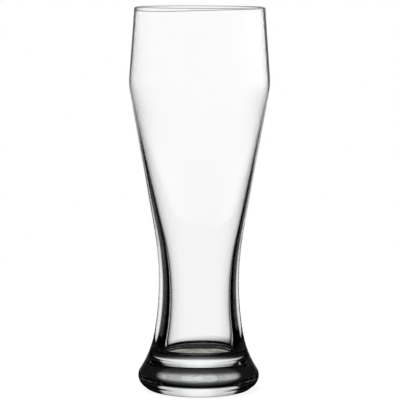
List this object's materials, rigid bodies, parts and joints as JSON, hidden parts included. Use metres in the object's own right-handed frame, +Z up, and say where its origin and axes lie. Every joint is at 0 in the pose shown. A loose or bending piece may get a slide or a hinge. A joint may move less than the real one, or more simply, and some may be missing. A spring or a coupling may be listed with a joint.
{
  "type": "weizen glass",
  "caption": "Tall clear beer glass with a wide upper bowl, narrow waist and heavy solid flared foot with a shallow hollow underneath.",
  "frame": {"origin": "centre of the standing ring under the foot, on the table", "axes": "+Z up along the axis of the glass, through the middle of its mouth; X and Y are alike, because the glass is round"},
  "size_m": [0.086, 0.086, 0.235],
  "materials": {
    "clear_glass": "clear, fire polished"
  },
  "bodies": {
    "root": {"bowl": "clear_glass", "foot": "clear_glass"}
  },
  "joints": []
}
